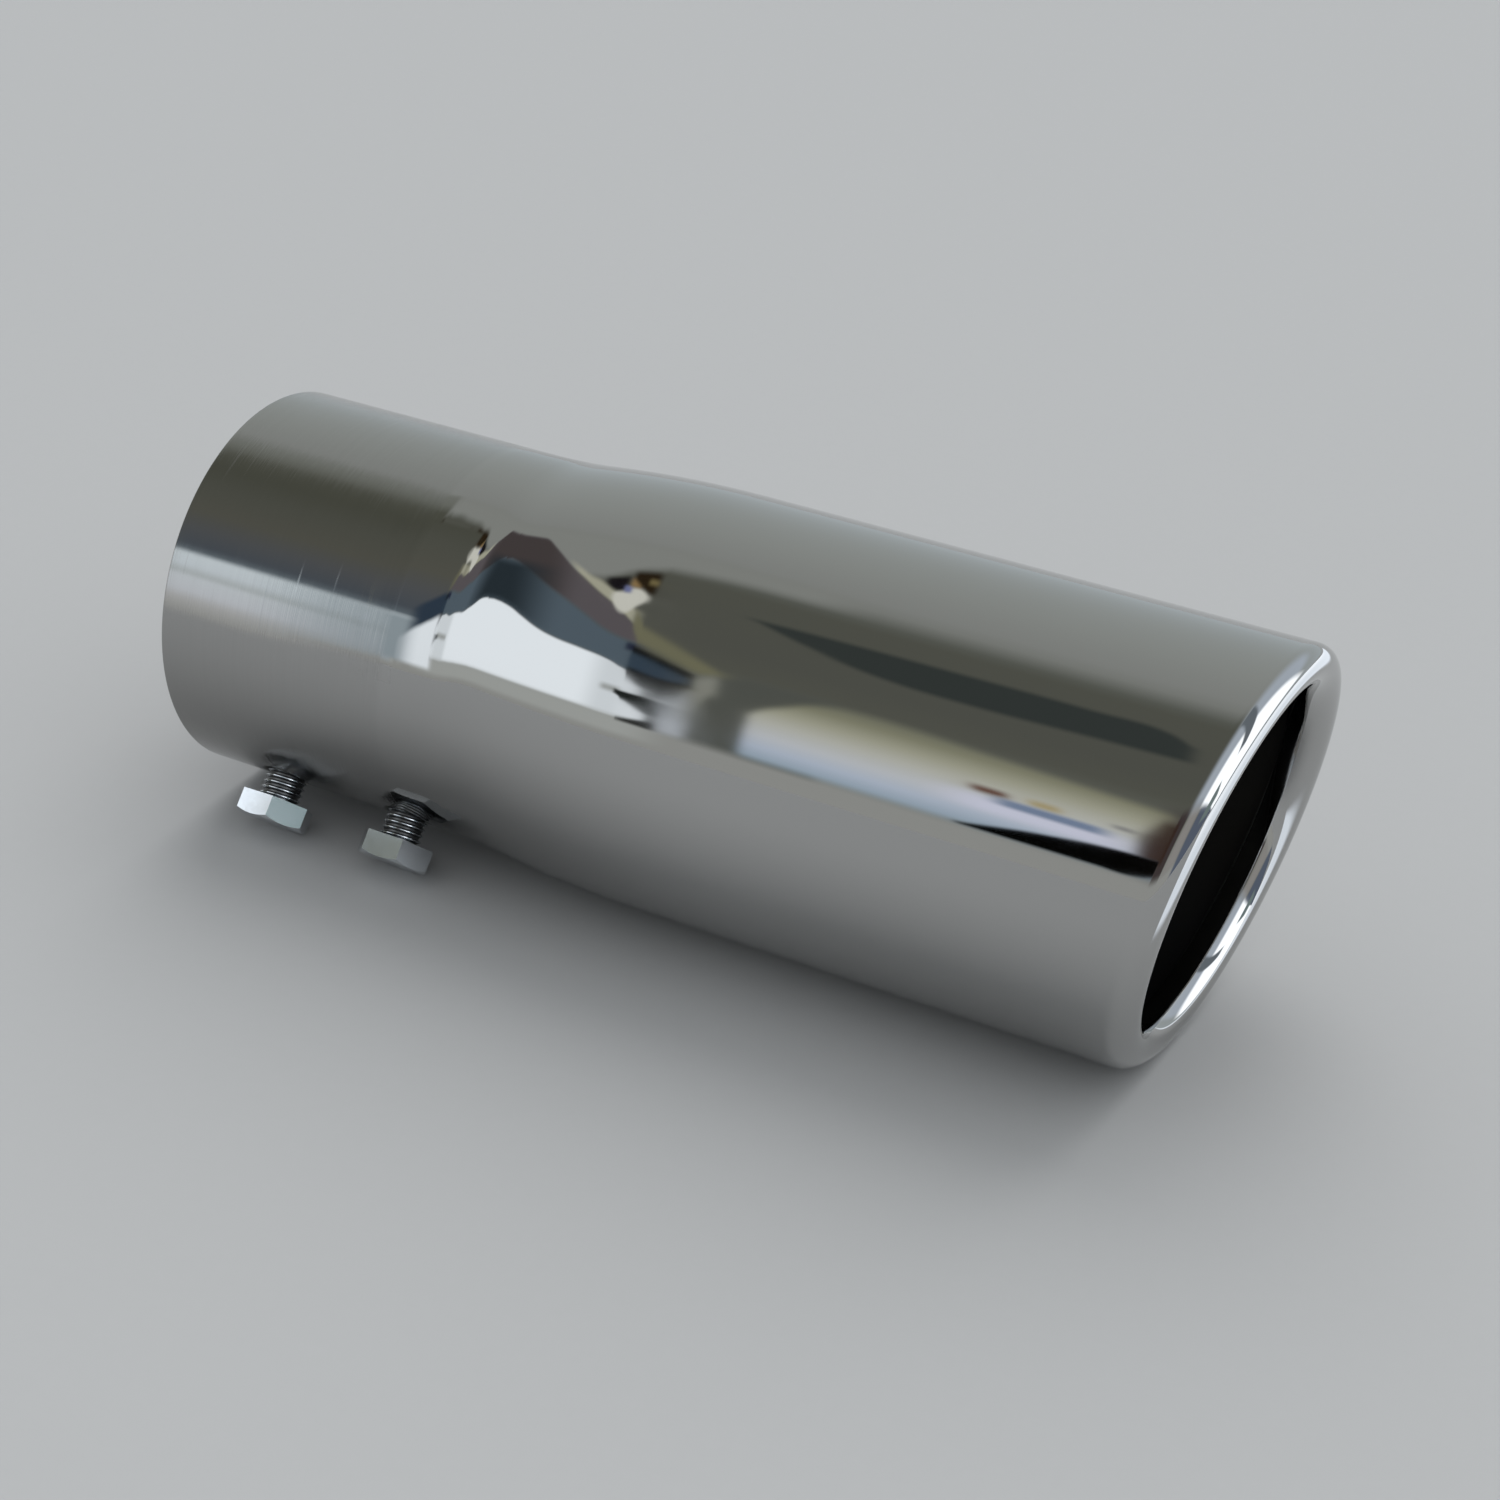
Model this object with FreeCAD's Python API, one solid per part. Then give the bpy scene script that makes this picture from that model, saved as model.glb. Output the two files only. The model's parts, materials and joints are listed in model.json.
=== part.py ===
# Exhaust tip of polished steel: a round slip-on sleeve that flares into a slightly larger round body,
# cut at a slant at the outlet, with its edge rolled inwards into a fat lip. Two hex bolts screw through
# nuts welded inside the sleeve and grip the tailpipe.
#
# The tip is built in its own posture first: the tube's axis is +X from the inlet to the outlet, the bolts
# point down (-Z) and the long side of the slanted outlet is nearly up (+Z). At the end it is turned about
# its axis and laid down as it comes to rest: the body's skin and one bolt's head touch the ground.

import FreeCAD, Part
import math
import os
from FreeCAD import Vector

# Driving dimensions, in millimetres and degrees

# The formed shell
sleeve_diameter = 63.5
body_diameter = 68.0
wall = 1.2
flare_start = 45.0
flare_length = 37.0
steepest_place = 12.0
outlet_distance = 169.6
slant_angle = 9.15
slant_turn = 9.0
lip_radius = 3.5
lip_return = 2.5
roll_skin_arcs = 14
roll_hollow_arcs = 12

# The clamp bolts and the nuts that hold them
first_bolt_place = 16.0
bolt_spacing = 23.5
thread_diameter = 7.0
bolt_length = 16.0
head_gap = 4.2
head_across_flats = 11.0
head_height = 3.8
head_chamfer_angle = 30.0
tip_chamfer = 1.0
nut_across_flats = 11.0
nut_height = 5.5
weld_leg = 2.0
turn_of_inlet_bolt = -10.0
turn_of_flare_bolt = 3.0

# Clearances
thread_clearance = 0.05
hole_clearance = 0.5

# Sizes that follow from them
sleeve_radius = sleeve_diameter / 2
body_radius = body_diameter / 2
sleeve_bore_radius = sleeve_radius - wall
flare_end = flare_start + flare_length
flare_rise = body_radius - sleeve_radius
steepest_slope = 2 * math.degrees(math.atan(flare_rise / flare_length))
hollow_bend = steepest_place / math.sin(math.radians(steepest_slope))
crown_bend = (flare_length - steepest_place) / math.sin(math.radians(steepest_slope))
slant = math.tan(math.radians(slant_angle))
lip_start = outlet_distance - lip_radius
head_underside = sleeve_radius + head_gap
head_end = head_underside + head_height
shank_radius = thread_diameter / 2 - thread_clearance
bolt_places = {"inlet": first_bolt_place, "flare": first_bolt_place + bolt_spacing}
bolt_turns = {"inlet": turn_of_inlet_bolt, "flare": turn_of_flare_bolt}

ORIGIN = Vector(0, 0, 0)
X_AXIS = Vector(1, 0, 0)
Y_AXIS = Vector(0, 1, 0)
Z_AXIS = Vector(0, 0, 1)


def at(x, r):
    """A point of a lengthwise section: x along the tube, r out from its axis."""
    return Vector(x, 0, r)


def line(start, end):
    return Part.LineSegment(start, end).toShape()


def arc(centre, radius, start_angle, end_angle):
    """An arc of the lengthwise section, through its middle; angles in degrees from +X towards +r."""
    def point(angle):
        a = math.radians(angle)
        return at(centre[0] + radius * math.cos(a), centre[1] + radius * math.sin(a))
    return Part.Arc(point(start_angle), point((start_angle + end_angle) / 2), point(end_angle)).toShape()


def short_arcs(centre, radius, start_angle, end_angle, count):
    """The same arc in equal short lengths."""
    step = (end_angle - start_angle) / count
    return [arc(centre, radius, start_angle + k * step, start_angle + (k + 1) * step) for k in range(count)]


def revolved(edges):
    """The solid that a closed section sweeps about the tube's axis."""
    section = Part.Face(Part.Wire(Part.__sortEdges__(edges)))
    return section.revolve(ORIGIN, X_AXIS, 360)


def tube_skin(depth, end):
    """The sleeve, the S-shaped flare and the body, as edges that lie the given depth below the outside.

    The flare is a short hollow bend and a longer crowned one, which meet where the skin is steepest."""
    hollow_centre = (flare_start, sleeve_radius + hollow_bend)
    crown_centre = (flare_end, body_radius - crown_bend)
    return [
        line(at(0, sleeve_radius - depth), at(flare_start, sleeve_radius - depth)),
        arc(hollow_centre, hollow_bend + depth, -90, -90 + steepest_slope),
        arc(crown_centre, crown_bend - depth, 90 + steepest_slope, 90),
        line(at(flare_end, body_radius - depth), at(end, body_radius - depth)),
    ]


def slanted_cutter(x):
    """A block that takes away all that lies past the slanted plane through x on the axis."""
    reach = 4 * body_diameter
    block = Part.makeBox(reach, reach, reach, Vector(x, -reach / 2, -reach / 2))
    block.rotate(Vector(x, 0, 0), Y_AXIS, slant_angle)
    return block


def plain_tube():
    """Sleeve, flare and body, one wall thick, ended by the slanted plane where the lip begins."""
    end = outlet_distance + slant * body_radius
    ends = [
        line(at(0, sleeve_radius), at(0, sleeve_radius - wall)),
        line(at(end, body_radius), at(end, body_radius - wall)),
    ]
    return revolved(tube_skin(0, end) + tube_skin(wall, end) + ends).cut(slanted_cutter(lip_start))


def rolled_lip():
    """The edge rolled inwards by half a turn, then leaned so that it follows the slanted outlet.

    Leaning moves each point along the tube by its height, so the roll leaves the wall smoothly. The roll
    is made of short arcs, because a long leaned skin takes far more facets for the same truth."""
    roll = (0, body_radius - lip_radius)
    edge = roll[1] - lip_radius
    section = [
        line(at(0, edge), at(-lip_return, edge)),
        line(at(-lip_return, edge), at(-lip_return, edge + wall)),
        line(at(-lip_return, edge + wall), at(0, edge + wall)),
        line(at(0, body_radius - wall), at(0, body_radius)),
    ]
    section += short_arcs(roll, lip_radius, 90, -90, roll_skin_arcs)
    section += short_arcs(roll, lip_radius - wall, -90, 90, roll_hollow_arcs)
    lean = FreeCAD.Matrix()
    lean.A13 = slant
    lean.A14 = lip_start
    return revolved(section).transformGeometry(lean)


def down_cylinder(x, radius, start, end):
    """A cylinder about a bolt's axis, between two distances from the tube's axis."""
    return Part.makeCylinder(radius, end - start, Vector(x, 0, -end), Z_AXIS)


def down_hexagon(x, across_flats, start, end, turn):
    """A hexagonal prism about a bolt's axis, turned about it by the given angle."""
    corner = across_flats / math.sqrt(3)
    points = [Vector(corner * math.cos(math.radians(60 * k)), corner * math.sin(math.radians(60 * k)), 0)
              for k in range(7)]
    prism = Part.Face(Part.makePolygon(points)).extrude(Vector(0, 0, end - start))
    prism.rotate(ORIGIN, Z_AXIS, turn)
    prism.translate(Vector(x, 0, -end))
    return prism


def chamfered(prism, x, across_flats, face, inward):
    """A hexagonal prism whose corners are turned back to a cone at one end face.

    The cone starts at the flats. inward is +1 where the prism lies nearer the tube's axis than the face."""
    corner = across_flats / math.sqrt(3)
    flat = across_flats / 2
    drop = (corner - flat) * math.tan(math.radians(head_chamfer_angle))
    depth = prism.BoundBox.ZLength
    low_radius = flat + (depth / drop) * (corner - flat)
    cone = Part.makeCone(flat, low_radius, depth, Vector(x, 0, -face), Z_AXIS * inward)
    return prism.common(cone)


def clamp_bolt(x, turn):
    """Hex head, chamfered on its outer face, and a shank with a chamfered tip. The thread is left plain."""
    head = down_hexagon(x, head_across_flats, head_underside, head_end, turn)
    head = chamfered(head, x, head_across_flats, head_end, 1)
    tip = head_underside - bolt_length
    shank = down_cylinder(x, shank_radius, tip + tip_chamfer, head_underside)
    point = Part.makeCone(shank_radius, shank_radius - tip_chamfer, tip_chamfer,
                          Vector(x, 0, -tip - tip_chamfer), Z_AXIS)
    return head.fuse([shank, point]).removeSplitter()


def weld_nut(x):
    """A hex nut with a weld bead round its foot, both fitted to the curve of the sleeve's bore."""
    inner_end = sleeve_bore_radius - nut_height
    nut = down_hexagon(x, nut_across_flats, inner_end, sleeve_radius, 0)
    nut = chamfered(nut, x, nut_across_flats, inner_end, -1)
    corner = nut_across_flats / math.sqrt(3)
    bead = Part.makeCone(corner + weld_leg, corner - weld_leg / 2, 2 * weld_leg,
                         Vector(x, 0, -sleeve_bore_radius), Z_AXIS)
    bore = Part.makeCylinder(sleeve_bore_radius, flare_end, ORIGIN, X_AXIS)
    body = nut.fuse(bead).common(bore)
    return body.cut(down_cylinder(x, thread_diameter / 2, 0, sleeve_radius)).removeSplitter()


def tip_shell():
    """The formed shell: the tube with its rolled lip, and the two holes that the bolts pass through.

    The outlet's long side isn't quite opposite the bolts, so the tube is turned before it is drilled."""
    shell = plain_tube().fuse(rolled_lip())
    shell.rotate(ORIGIN, X_AXIS, slant_turn)
    for x in bolt_places.values():
        hole = down_cylinder(x, thread_diameter / 2 + hole_clearance, sleeve_radius / 2, sleeve_radius + wall)
        shell = shell.cut(hole)
    return shell


def lowest_reach(turn):
    """How far a bolt head's outer edge stands out sideways, away from the side that the bolts lean to."""
    corner = head_across_flats / math.sqrt(3)
    return max(corner * math.sin(math.radians(60 * k + turn)) for k in range(6))


def resting_turn():
    """The turn about the tube's axis, from bolts straight down, at which a bolt head meets the ground.

    The ground touches the body's skin, so it lies one body radius below the axis. What meets it on a head
    is the rim of the outer face or a corner where the chamfer starts, whichever stands out more."""
    corner = head_across_flats / math.sqrt(3)
    drop = (corner - head_across_flats / 2) * math.tan(math.radians(head_chamfer_angle))
    points = [(head_end, head_across_flats / 2)]
    points += [(head_end - drop, lowest_reach(turn)) for turn in bolt_turns.values()]
    below_level = [math.asin(body_radius / math.hypot(out, side)) - math.atan2(side, out)
                   for out, side in points]
    return 90 - math.degrees(min(below_level))


pieces = {"tip_shell": tip_shell()}
for name, x in bolt_places.items():
    pieces["clamp_bolt_" + name] = clamp_bolt(x, bolt_turns[name])
    pieces["weld_nut_" + name] = weld_nut(x)

os.makedirs("parts", exist_ok=True)
rest = resting_turn()
print("turn at rest", round(rest, 4), "degrees")
for name, piece in pieces.items():
    piece.rotate(ORIGIN, X_AXIS, -rest)
    print(name, "solids", len(piece.Solids), "valid", piece.isValid(), "volume", round(piece.Volume, 1))
    piece.exportStep("parts/" + name + ".step")
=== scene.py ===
"""The looks of a slip-on exhaust tip: a formed steel shell with a satin sleeve and a mirror-polished body,
two clamp bolts with cut threads, two weld nuts with rippled beads, and a plain pale stage."""

import json
import math
from typing import NamedTuple

import bmesh
import bpy
from mathutils import Matrix, Vector


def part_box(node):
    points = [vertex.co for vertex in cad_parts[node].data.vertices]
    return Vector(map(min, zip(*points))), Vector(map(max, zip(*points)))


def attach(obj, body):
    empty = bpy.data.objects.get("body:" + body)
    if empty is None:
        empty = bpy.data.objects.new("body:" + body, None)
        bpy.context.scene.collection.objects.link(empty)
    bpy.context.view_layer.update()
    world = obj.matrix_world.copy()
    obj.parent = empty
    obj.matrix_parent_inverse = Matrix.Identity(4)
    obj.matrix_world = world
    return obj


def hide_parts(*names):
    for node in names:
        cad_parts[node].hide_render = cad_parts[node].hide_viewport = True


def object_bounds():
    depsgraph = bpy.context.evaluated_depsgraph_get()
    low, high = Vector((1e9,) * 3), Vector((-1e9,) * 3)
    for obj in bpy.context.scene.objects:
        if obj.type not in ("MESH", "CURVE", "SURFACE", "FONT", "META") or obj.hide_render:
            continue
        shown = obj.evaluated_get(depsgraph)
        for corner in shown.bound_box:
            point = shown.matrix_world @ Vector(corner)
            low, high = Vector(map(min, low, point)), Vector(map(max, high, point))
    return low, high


bl_info = {
    "name": "Exhaust tip",
    "version": (1, 0, 0),
    "blender": (4, 5, 0),
    "location": "3D View > Sidebar > Exhaust tip",
    "description": "Builds the shell, bolts, weld nuts and stage of a slip-on exhaust tip",
    "category": "Object",
}

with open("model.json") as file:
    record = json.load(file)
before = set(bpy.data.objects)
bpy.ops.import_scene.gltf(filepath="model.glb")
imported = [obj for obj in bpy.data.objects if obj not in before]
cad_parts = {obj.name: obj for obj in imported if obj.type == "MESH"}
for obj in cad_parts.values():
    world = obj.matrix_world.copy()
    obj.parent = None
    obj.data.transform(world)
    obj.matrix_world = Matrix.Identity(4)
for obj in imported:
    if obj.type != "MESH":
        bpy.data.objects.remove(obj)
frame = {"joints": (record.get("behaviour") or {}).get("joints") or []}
cad_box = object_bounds()

MM = 0.001

# The bolts' axis, pointing at the tube's axis, and the direction across it
inward = Vector(frame["joints"][0]["axis"]).normalized()
lengthwise = Vector((1, 0, 0))
across = inward.cross(lengthwise)
floor_level = cad_box[0].z
tip_middle = (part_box("tip_shell")[0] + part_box("tip_shell")[1]) / 2

# How finely round forms are divided
ROUND_STEPS = 256
HOLE_STEPS = 96
THREAD_STEPS = 48
FLARE_STEPS = 20
LIP_STEPS = 28
EDGE_STEPS = 5
BEAD_STEPS = 8
CARD_STEPS = 60

# A point this far past a bend keeps the straight stretch flat, and points this close are one
SUPPORT = 0.3 * MM
MERGE = 0.0002 * MM

# Faces of a bolt or nut that are larger than this are shaded flat
FLAT_AREA = 3 * MM ** 2

# The nuts' play round the thread, the chamfer of their bores, how far their feet lie above the wall inside
# the weld, so that the two forms share no face, and the ripples of their weld beads
THREAD_PLAY = 0.05 * MM
NUT_MOUTH = 0.6 * MM
NUT_LIFT = 0.06 * MM
RIPPLES = 26

# How much brighter the surroundings are than the steel that mirrors them
MIRROR_GAIN = 2.17


def length(name, description, millimetres):
    """A size that the panel shows, given in millimetres and kept in metres."""
    return bpy.props.FloatProperty(name=name, description=description, default=millimetres * MM,
                                   unit="LENGTH", precision=5)


def turn(name, description, degrees):
    return bpy.props.FloatProperty(name=name, description=description, default=math.radians(degrees),
                                   subtype="ANGLE")


def amount(name, description, value):
    return bpy.props.FloatProperty(name=name, description=description, default=value)


def colour(name, description, value):
    """A colour in linear light."""
    return bpy.props.FloatVectorProperty(name=name, description=description, default=value, size=3,
                                         subtype="COLOR", min=0.0, max=4.0)


class ShellSizes(bpy.types.PropertyGroup):
    sleeve_diameter: length("Sleeve diameter", "Outside of the sleeve that takes the tailpipe", 63.5)
    body_diameter: length("Body diameter", "Outside of the polished body", 68.0)
    wall: length("Wall", "Thickness of the sheet", 1.2)
    flare_start: length("Flare start", "Where the sleeve starts to widen, from the inlet", 45.0)
    flare_length: length("Flare length", "Length of the S-shaped flare", 37.0)
    steepest_place: length("Steepest place", "Where the flare is steepest, from its start", 12.0)
    outlet_distance: length("Outlet distance", "The outlet's middle, from the inlet", 169.6)
    slant_angle: turn("Slant", "How far the outlet leans from square", 9.15)
    slant_turn: turn("Slant turn", "The long side's turn from straight opposite the bolts", 9.0)
    lip_radius: length("Lip radius", "Outside radius of the rolled lip", 3.5)
    lip_return: length("Lip return", "Straight end of the rolled sheet", 2.5)
    inlet_edge: length("Inlet edge", "Rounding of the sleeve's cut edge", 0.3)
    hole_radius: length("Bolt hole radius", "Radius of the hole that a bolt passes through", 4.0)
    hole_edge: length("Bolt hole edge", "Rounding that the punch leaves round a bolt hole", 0.7)
    satin_length: length("Satin length", "How far the brushed finish reaches from the inlet", 40.8)
    neck_depth: length("Neck depth", "How far the buffing has sunk the skin before the flare", 0.7)


class BoltSizes(bpy.types.PropertyGroup):
    first_place: length("First bolt", "Axis of the inlet bolt, from the inlet", 16.0)
    spacing: length("Bolt spacing", "From one bolt's axis to the other's", 23.5)
    thread_diameter: length("Thread diameter", "Outside of the thread", 6.9)
    thread_pitch: length("Thread pitch", "Travel of one turn", 1.0)
    bolt_length: length("Bolt length", "Under the head to the tip", 16.0)
    head_gap: length("Head gap", "Between the sleeve and the head", 4.2)
    head_across_flats: length("Head across flats", "Width of the hexagonal head", 11.0)
    head_height: length("Head height", "Thickness of the head", 3.8)
    head_chamfer: turn("Head chamfer", "Slope of the turned-off corners", 30.0)
    head_edge: length("Head edge", "Rounding of the head's edges", 0.14)
    tip_chamfer: length("Tip chamfer", "Chamfer of the shank's end", 1.0)
    inlet_bolt_turn: turn("Inlet bolt turn", "Turn of the inlet bolt's head about its axis", -10.0)
    flare_bolt_turn: turn("Flare bolt turn", "Turn of the flare bolt's head about its axis", 3.0)
    nut_across_flats: length("Nut across flats", "Width of the weld nut", 11.0)
    nut_height: length("Nut height", "Thickness of the weld nut", 5.5)
    weld_leg: length("Weld leg", "Size of the weld bead", 2.0)
    weld_ripple: length("Weld ripple", "Height of the bead's ripples", 0.14)


class Finishes(bpy.types.PropertyGroup):
    polished_steel: colour("Polished steel", "Mirror-polished body and lip", (0.465, 0.465, 0.458))
    satin_steel: colour("Satin steel", "Brushed sleeve", (0.46, 0.46, 0.453))
    # Painted shade: a darker steel for the lower front of the sleeve and flare
    painted_shade_steel: colour("Painted shade steel", "Painted shade on the lower front of the sleeve and flare", (0.20, 0.198, 0.19))
    inside_steel: colour("Inside", "Dull inside of the tube", (0.045, 0.043, 0.04))
    zinc: colour("Zinc", "Plated bolts", (0.72, 0.75, 0.78))
    # Painted shade: a dark colour for the roots of the bolts' thread
    thread_root_shade: colour("Thread root shade", "Painted shade in the roots of the thread", (0.07, 0.065, 0.06))
    nut_steel: colour("Nut steel", "Bare weld nuts", (0.40, 0.39, 0.37))
    weld_straw: colour("Weld straw", "Outer heat tint of the weld", (0.36, 0.22, 0.09))
    weld_blue: colour("Weld blue", "Inner heat tint of the weld", (0.10, 0.12, 0.22))
    polish_roughness: amount("Polish roughness", "How blurred the body's reflections are", 0.03)
    satin_roughness: amount("Satin roughness", "How blurred the sleeve's reflections are", 0.08)


class StageSettings(bpy.types.PropertyGroup):
    floor_colour: colour("Floor", "Plain pale floor", (0.505, 0.505, 0.502))
    backdrop_colour: colour("Backdrop", "What the camera sees past the floor", (0.72, 0.74, 0.76))
    room_light: colour("Room light", "Plain light on what isn't polished", (0.52, 0.55, 0.575))
    camera_target: length("Camera target", "The point of the tube's axis that the view is set by", 100.0)
    camera_distance: length("Camera distance", "From the target to the camera", 409.5)
    camera_azimuth: turn("Camera azimuth", "Round the part, from straight in front", 24.434)
    camera_elevation: turn("Camera elevation", "Above the floor", 28.644)
    camera_roll: turn("Camera roll", "Turn of the picture", 4.614)
    camera_lens: amount("Lens", "Focal length in millimetres on a 36 mm sensor", 63.29)
    target_across: amount("Target across", "Where the target falls, from the picture's left edge", 0.5407)
    target_down: amount("Target down", "Where the target falls, from the picture's top edge", 0.4902)


def lit(level):
    """The light that steel has to mirror to look as bright as levels from 0 to 255."""
    return tuple(MIRROR_GAIN * (c / 255) ** 2.2 for c in level)


class Number:
    """A number worked out by shader nodes. Python's operators on it add the Math nodes."""

    def __init__(self, graph, socket):
        self.graph = graph
        self.socket = socket

    def __add__(self, other):
        return self.graph.math("ADD", self, other)

    def __sub__(self, other):
        return self.graph.math("SUBTRACT", self, other)

    def __rsub__(self, other):
        return self.graph.math("SUBTRACT", other, self)

    def __mul__(self, other):
        return self.graph.math("MULTIPLY", self, other)

    def __truediv__(self, other):
        return self.graph.math("DIVIDE", self, other)

    def __pow__(self, other):
        return self.graph.math("POWER", self, other)

    def __neg__(self):
        return self.graph.math("MULTIPLY", self, -1)

    __radd__ = __add__
    __rmul__ = __mul__


class Graph:
    """The nodes of one material or of the world."""

    def __init__(self, tree):
        self.tree = tree
        tree.nodes.clear()

    def add(self, kind, settings, inputs):
        """One node: its settings are set first, then its sockets get their values or links."""
        node = self.tree.nodes.new(kind)
        for name, value in settings.items():
            if name == "stops":
                self.set_stops(node.color_ramp, value)
            elif name == "points":
                self.set_points(node.mapping, value)
            else:
                setattr(node, name, value)
        for key, value in inputs.items():
            socket = node.inputs[key]
            if isinstance(value, Number):
                self.tree.links.new(value.socket, socket)
            elif isinstance(value, bpy.types.NodeSocket):
                self.tree.links.new(value, socket)
            else:
                socket.default_value = value
        return node

    @staticmethod
    def set_stops(ramp, stops):
        """stops are (position, colour) pairs in order."""
        while len(ramp.elements) < len(stops):
            ramp.elements.new(1.0)
        for element, (position, value) in zip(ramp.elements, stops):
            element.position = position
            element.color = (*value, 1.0)

    @staticmethod
    def set_points(mapping, points):
        """points are (place, height) pairs in order, all between 0 and 1."""
        mapping.extend = "HORIZONTAL"
        line = mapping.curves[0].points
        while len(line) < len(points):
            line.new(0.5, 0.5)
        for point, place in zip(line, points):
            point.location = place
        mapping.update()

    def math(self, operation, *values):
        node = self.add("ShaderNodeMath", {"operation": operation}, dict(enumerate(values)))
        return Number(self, node.outputs[0])

    def step(self, value, start, end):
        """0 up to start, 1 from end, and smooth between them. start may be above end."""
        node = self.add("ShaderNodeMapRange", {"interpolation_type": "SMOOTHSTEP"},
                        {"Value": value, "From Min": min(start, end), "From Max": max(start, end),
                         "To Min": float(start > end), "To Max": float(start <= end)})
        return Number(self, node.outputs[0])

    def band(self, value, low, high, soft):
        """1 between low and high, with soft edges that wide."""
        half = soft / 2
        return self.step(value, low - half, low + half) * self.step(value, high + half, high - half)

    def mix(self, factor, first, second):
        """A colour between two colours."""
        node = self.add("ShaderNodeMix", {"data_type": "RGBA"},
                        {0: factor, 6: self.opaque(first), 7: self.opaque(second)})
        return node.outputs[2]

    @staticmethod
    def opaque(value):
        return value if isinstance(value, bpy.types.NodeSocket) else (*value, 1.0)

    @staticmethod
    def blend(factor, first, second):
        """A number between two numbers."""
        return first + (second - first) * factor

    def curve(self, value, points):
        """The height at a value from 0 to 1 of a smooth line through (place, height) points."""
        node = self.add("ShaderNodeFloatCurve", {"points": points}, {"Value": value})
        return Number(self, node.outputs[0])

    def ramp(self, value, low, high, stops):
        """A light that changes with a value between low and high. stops are (value, level) pairs."""
        span = high - low
        node = self.add("ShaderNodeValToRGB", {"stops": [((v - low) / span, lit(c)) for v, c in stops]},
                        {0: (value - low) / span})
        return node.outputs[0]

    def turn_about_tube(self, y, z):
        """Degrees about the tube: 0 straight up, 90 in front of the part and -90 behind it."""
        return self.math("ARCTAN2", -y, z) * (180 / math.pi)

    def coordinates(self, output):
        """The three coordinates of Texture Coordinate's named output."""
        source = self.add("ShaderNodeTexCoord", {}, {})
        parts = self.add("ShaderNodeSeparateXYZ", {}, {0: source.outputs[output]})
        return [Number(self, socket) for socket in parts.outputs]

    def noise(self, spot, along, about, detail, roughness=0.5):
        """Noise with that many waves per metre along the tube and across it. spot is (x, y, z)."""
        x, y, z = spot
        place = self.add("ShaderNodeCombineXYZ", {}, {0: x * along, 1: y * about, 2: z * about})
        node = self.add("ShaderNodeTexNoise", {}, {"Vector": place.outputs[0], "Scale": 1.0,
                                                   "Detail": detail, "Roughness": roughness})
        return Number(self, node.outputs["Factor" if "Factor" in node.outputs else "Fac"])

    def bump(self, height, strength, distance):
        node = self.add("ShaderNodeBump", {}, {"Height": height, "Strength": strength,
                                               "Distance": distance})
        return node.outputs[0]

    def either(self, factor, first, second):
        """A shader between two shaders."""
        return self.add("ShaderNodeMixShader", {}, {0: factor, 1: first, 2: second}).outputs[0]

    def surface(self, inputs):
        """A surface, sent to the material's output."""
        shader = self.add("ShaderNodeBsdfPrincipled", {}, inputs)
        self.add("ShaderNodeOutputMaterial", {}, {"Surface": shader.outputs[0]})

    def metal(self, base, roughness, normal):
        self.surface({"Base Color": base, "Metallic": 1.0, "Roughness": roughness, "Normal": normal})

    def bolt_coordinates(self, place):
        """Object coordinates, and how far out from a bolt's axis they lie."""
        x, y, z = self.coordinates("Object")
        side = y * across.y + z * across.z
        return (x, y, z), ((x - place) ** 2 + side ** 2) ** 0.5


def new_material(name):
    material = bpy.data.materials.new(name)
    material.use_nodes = True
    return material, Graph(material.node_tree)


def at(x, z):
    """A point of a section, which is drawn on the plane of x and z before it is turned."""
    return Vector((x, 0, z))


def section_arc(centre_x, centre_z, radius, start, end, steps):
    """Points of an arc in a section, with angles in degrees from +x to +z."""
    angles = [math.radians(start + (end - start) * k / steps) for k in range(steps + 1)]
    return [at(centre_x + radius * math.cos(a), centre_z + radius * math.sin(a)) for a in angles]


def spun(section, axis, steps, closed):
    """A bmesh of the section turned once about an axis through the origin."""
    mesh = bmesh.new()
    verts = [mesh.verts.new(point) for point in section]
    edges = [mesh.edges.new(pair) for pair in zip(verts, verts[1:])]
    if closed:
        edges.append(mesh.edges.new((verts[-1], verts[0])))
    bmesh.ops.spin(mesh, geom=verts + edges, cent=(0, 0, 0), axis=axis, dvec=(0, 0, 0), angle=2 * math.pi,
                   steps=steps, use_merge=True, use_duplicate=False)
    bmesh.ops.remove_doubles(mesh, verts=mesh.verts, dist=MERGE)
    bmesh.ops.recalc_face_normals(mesh, faces=mesh.faces)
    return mesh


def as_object(mesh, name, flat_from=math.inf):
    """A bmesh as an object at the origin, smooth but for its real edges and its faces above an area."""
    bmesh.ops.recalc_face_normals(mesh, faces=mesh.faces)
    for face in mesh.faces:
        face.smooth = True
    data = bpy.data.meshes.new(name)
    mesh.to_mesh(data)
    mesh.free()
    data.set_sharp_from_angle(angle=math.radians(32))
    for polygon in data.polygons:
        polygon.use_smooth = polygon.area < flat_from
    piece = bpy.data.objects.new(name, data)
    bpy.context.scene.collection.objects.link(piece)
    return piece


def flat_square(x, y, height, reach):
    """A bmesh of a level square about a point, that far from its middle to each side."""
    mesh = bmesh.new()
    bmesh.ops.create_grid(mesh, x_segments=1, y_segments=1, size=reach,
                          matrix=Matrix.Translation((x, y, height)))
    return mesh


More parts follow.
